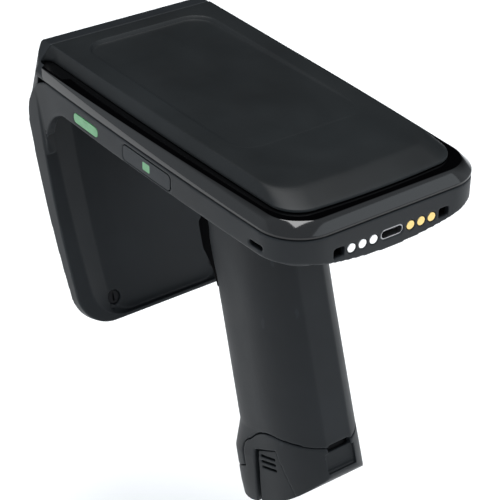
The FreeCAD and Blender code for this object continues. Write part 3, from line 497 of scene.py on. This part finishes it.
def flared(outline, wide, turned):
    """Widens an outline towards the front, and turns its front corners outwards in a small round."""
    points = []
    for x, y in outline:
        share = max(0.0, min(1.0, (y - TURN_START) / TURN_LONG))
        out = wide * (y / FLARE_FRONT) ** 2 + turned * (1 - math.sqrt(1 - share * share))
        points.append((x + math.copysign(out, x) if abs(x) > MIDDLE else x, y))
    return points


def cover():
    """Top cover: a small upright lip, a slope that is steep at the sides and long at the rear, a flat top
    and a shallow round-cornered pocket that fades out towards the rear."""
    def stage(share, height):
        plan = head_outline(COVER_HALF - SLOPE_SIDE * share, COVER_REAR + SLOPE_REAR * share,
                            HEAD_FRONT - SLOPE_FRONT * share, COVER_CORNER, COVER_FRONT_CORNER, COVER_TAPER,
                            COVER_BOW - SLOPE_BOW * share)
        turned = TURN_OUT * max(0.0, 1 - TURN_FADE * share)
        return ring(flared(plan, FLARE_FOOT + FLARE_GROWTH * share, turned), height)

    def slope(rise):
        return lambda y: SLOPE_FOOT + (top_level(y) - SLOPE_FOOT) * rise

    def pocket(out, share, drop):
        plan = head_outline(RECESS_HALF + out, RECESS_REAR - out, RECESS_FRONT + out, RECESS_CORNER + out,
                            RECESS_CORNER + out, 0.0)
        return ring(plan, lambda y: top_level(y) * (1 - share) + recess_level(y) * share - drop)

    rings = [stage(LIP_TUCK, LIP_LOW), stage(0.0, LIP_MID), stage(0.0, LIP_HIGH)]
    rings += [stage(share, slope(rise)) for share, rise in SLOPE]
    rings.append(stage(TOP_START, top_level))
    rings += [pocket(*row) for row in RECESS_RINGS]
    mesh = loft("cover_moulding", rings, COVER_CREASE, closed_loop=False)
    settle(mesh, "cover_moulding", "top_cover", "cover_black")


# The gloss ring: a groove at its foot, an upright band, a chamfer and a ledge under the cover's edge.
RIM_HALF, RIM_REAR, RIM_CORNER, RIM_FRONT_CORNER = 43.0, 0.0, 15.5, 0.2
HOLE_HALF, HOLE_REAR, HOLE_CORNER = 33.8, 9.2, 9.0
RIM_FOOT, GROOVE_TOP, GROOVE_DEEP = 7.55, 7.85, 1.2
BAND_FOOT, BAND_FOOT_INSET = 8.05, 0.2
BAND_REAR, BAND_GROWTH, BAND_LONG, BAND_CURVE = 8.8, 3.6, 149, 1.6
# The band's rounded top edge: how far in, and how far below the chamfer.
BAND_ROUND = ((0.0, 0.25), (0.02, 0.08))
LEDGE, LEDGE_STEP = 12.5, 0.02
CHAMFER_LEAST, CHAMFER_MOST = 0.12, 3.8
CHAMFER_FRONT, CHAMFER_BASE, CHAMFER_SPREAD = 141, 0.15, 0.03
CHAMFER_SHARES = (0.06, 0.5, 0.94)
LEDGE_ROUND_START, LEDGE_START = 1.04, 1.12
# The ring's front ends are cut square near the middle and at a slant nearer the sides.
SLANT_BEYOND, SLANT_X, SLANT_Y, SLANT = 38.5, 39.6, 146.6, 0.8


def inward(outline, depth):
    """The outline moved inwards, square to itself, by a depth that depends on the place along the head."""
    points = []
    for before, (x, y), after in zip(outline[-1:] + outline[:-1], outline, outline[1:] + outline[:1]):
        along = Vector((after[0] - before[0], after[1] - before[1])).normalized()
        points.append((x + along.y * depth(y), y - along.x * depth(y)))
    return points


def slant_ended(outline):
    """The outline with its front ends cut off where the antenna housing's shoulders begin."""
    def end(x):
        return HEAD_FRONT if abs(x) < SLANT_BEYOND else SLANT_Y - SLANT * (abs(x) - SLANT_X)

    return [(x, min(y, end(x))) for x, y in outline]


def gloss_rim():
    """Polished ring: an upright band, lower at the rear, a chamfer that widens towards the rear and a
    flat ledge that runs under the cover's edge. A groove at its foot makes the dark parting line."""
    outer = head_outline(RIM_HALF, RIM_REAR, HEAD_FRONT, RIM_CORNER, RIM_FRONT_CORNER, HEAD_TAPER)
    inside = head_outline(HOLE_HALF, HOLE_REAR, HEAD_FRONT, HOLE_CORNER, RIM_FRONT_CORNER, HEAD_TAPER)

    def band(y):
        return BAND_REAR + BAND_GROWTH * (max(0.0, y) / BAND_LONG) ** BAND_CURVE

    def chamfer_width(y):
        return max(CHAMFER_LEAST, min(CHAMFER_MOST, CHAMFER_BASE + CHAMFER_SPREAD * (CHAMFER_FRONT - y)))

    def edge(depth, height):
        return ring(slant_ended(inward(outer, lambda y: depth)), height)

    def below_chamfer(drop):
        return lambda y: band(y) - drop

    def chamfer(share, height):
        return ring(slant_ended(inward(outer, lambda y: chamfer_width(y) * share)), height)

    def up_chamfer(share):
        return lambda y: band(y) + (LEDGE - band(y)) * share

    rings = [ring(inside, RIM_FOOT), edge(GROOVE_DEEP, RIM_FOOT), edge(GROOVE_DEEP, GROOVE_TOP),
             edge(BAND_FOOT_INSET, GROOVE_TOP), edge(0.0, BAND_FOOT)]
    rings += [edge(depth, below_chamfer(drop)) for depth, drop in BAND_ROUND]
    rings += [chamfer(share, up_chamfer(share)) for share in CHAMFER_SHARES]
    rings += [chamfer(LEDGE_ROUND_START, LEDGE - LEDGE_STEP), chamfer(LEDGE_START, LEDGE)]
    rings.append(ring(inside, LEDGE))
    mesh = loft("gloss_rim", rings, RIM_CREASE, closed_loop=True)
    settle(mesh, "gloss_rim", "bezel_ring", "gloss_black")


# ---------------------------------------------------------------- making

camera()
studio()
floor()
dress_cad_nodes()
for shell in SOFT_SHELLS:
    softened(*shell)
cover()
gloss_rim()
